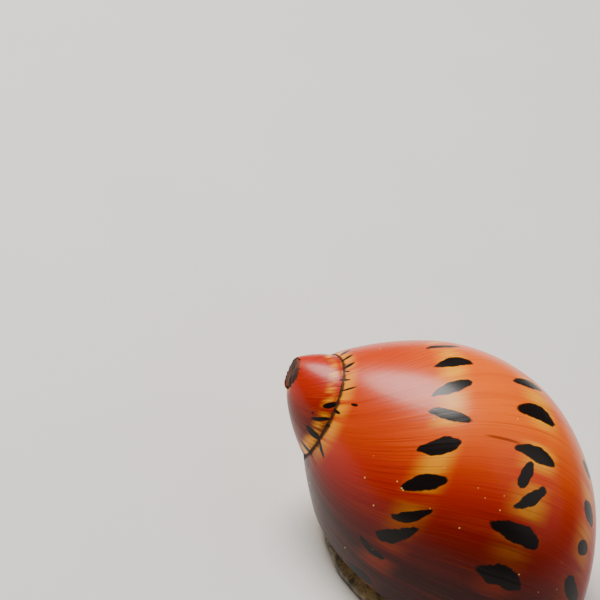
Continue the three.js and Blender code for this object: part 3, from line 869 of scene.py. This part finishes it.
away = place.made("ShaderNodeVectorMath", {"operation": "DISTANCE"}, {0: place, 1: corner}, 1)
grain = away * 21000.0 + place.cloud(500.0) * 4.0
grain = grain.math("SINE", grain)
dust = place.cloud(1100.0, 4.0)
colour = (grain * 0.25 + dust).step(0.25, 0.85).mixed(paint(104, 92, 80), paint(186, 176, 156))
normal = bumped(any_wire, grain * 0.4 + dust, 0.3, 0.00008)
plug(tree, shader, {"Base Color": colour, "Roughness": 0.34 + dust * 0.2, "Normal": normal})
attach(door, "root")
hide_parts("operculum")

# The eyes
# Two small black eyes, each a wet bead sunk in the end of a short stalk outside the feeler. Each
# is a slightly flattened ball of dark pigment under clear moist skin.
eye_radius = 0.00031
eye_flattening = 0.92
eye_look = bpy.data.materials.new("eye")
eye_fixed = {"IOR": 1.4, "Coat Weight": 1.0, "Coat Roughness": 0.03}
tree, shader, any_wire = new_look(eye_look, eye_fixed)
place = place_on(any_wire)
depth = place.cloud(3000.0, 2.0)
colour = depth.mixed(paint(6, 5, 5), paint(24, 18, 16))
plug(tree, shader, {"Base Color": colour, "Roughness": 0.05 + depth * 0.08})
for side, label in ((1, "left"), (-1, "right")):
    form = bmesh.new()
    bmesh.ops.create_uvsphere(form, u_segments=32, v_segments=20, radius=eye_radius)
    for vert in form.verts:
        vert.co.z *= eye_flattening
        vert.co += Vector(body_place(11.4, side * 3.05, 3.17) * to_metres)
    mesh = bpy.data.meshes.new("eye")
    form.to_mesh(mesh)
    form.free()
    smooth(mesh)
    bead = as_object("eyeball_" + label, mesh)
    mesh.materials.append(eye_look)
    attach(bead, "root")
    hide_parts("eye_" + label)

# The floor and the studio
# A pale matt table top stands in for the ground. One large soft window above and behind, a
# weaker one from the side, and an even room keep the shading soft.
floor_mesh = bpy.data.meshes.new("floor")
half = 2.0
floor_corners = [(-half, -half, 0), (half, -half, 0), (half, half, 0), (-half, half, 0)]
floor_mesh.from_pydata(floor_corners, [], [(0, 1, 2, 3)])
floor = as_object("floor", floor_mesh)
floor.location.z = -0.00003
floor_look = bpy.data.materials.new("floor")
floor_mesh.materials.append(floor_look)
tree, shader, any_wire = new_look(floor_look, {"Roughness": 0.85})
place = place_on(any_wire)
grain = place.cloud(60.0, 4.0)
plug(tree, shader, {"Base Color": grain.mixed(paint(222, 220, 216), paint(230, 228, 225))})

lit_point = Vector((0, 0, 0.01))


def soft_light(name, place, size, power, colour):
    lamp = bpy.data.lights.new(name, "AREA")
    lamp.shape = "DISK"
    lamp.size = size
    lamp.energy = power
    lamp.color = colour
    made = bpy.data.objects.new(name, lamp)
    bpy.context.scene.collection.objects.link(made)
    made.location = place
    aim = lit_point - Vector(place)
    made.rotation_euler = aim.to_track_quat("-Z", "Y").to_euler()


soft_light("window", (-0.12, 0.10, 0.30), 0.20, 2.0, (1.0, 0.96, 0.92))
soft_light("side", (0.30, -0.10, 0.30), 0.50, 0.5, (1.0, 0.95, 0.9))
world = bpy.data.worlds.new("room")
bpy.context.scene.world = world
world.use_nodes = True
room = world.node_tree.nodes["Background"]
room.inputs[0].default_value = (0.9, 0.93, 1.0, 1.0)
room.inputs[1].default_value = 0.12

# The camera
# It stands where the photograph was taken from, turned with the snail. Its place and its three
# directions were fitted to the photograph.
half_view = math.radians(8.0)
camera = bpy.data.cameras.new("camera")
camera.sensor_width = 36.0
camera.lens = camera.sensor_width / 2.0 / math.tan(half_view)
camera.clip_start = 0.01
camera.clip_end = 10.0
seen_from = bpy.data.objects.new("camera", camera)
bpy.context.scene.collection.objects.link(seen_from)
camera_right = Vector((0.96806, 0.15124, 0.19996))
camera_up = Vector((-0.25071, 0.58396, 0.77210))
camera_back = Vector((0.0, -0.79757, 0.60323))
turned = Matrix((camera_right, camera_up, camera_back)).transposed().to_4x4()
turned.translation = Vector((-0.013325, -0.121036, 0.112084))
seen_from.matrix_world = turned
bpy.context.scene.camera = seen_from
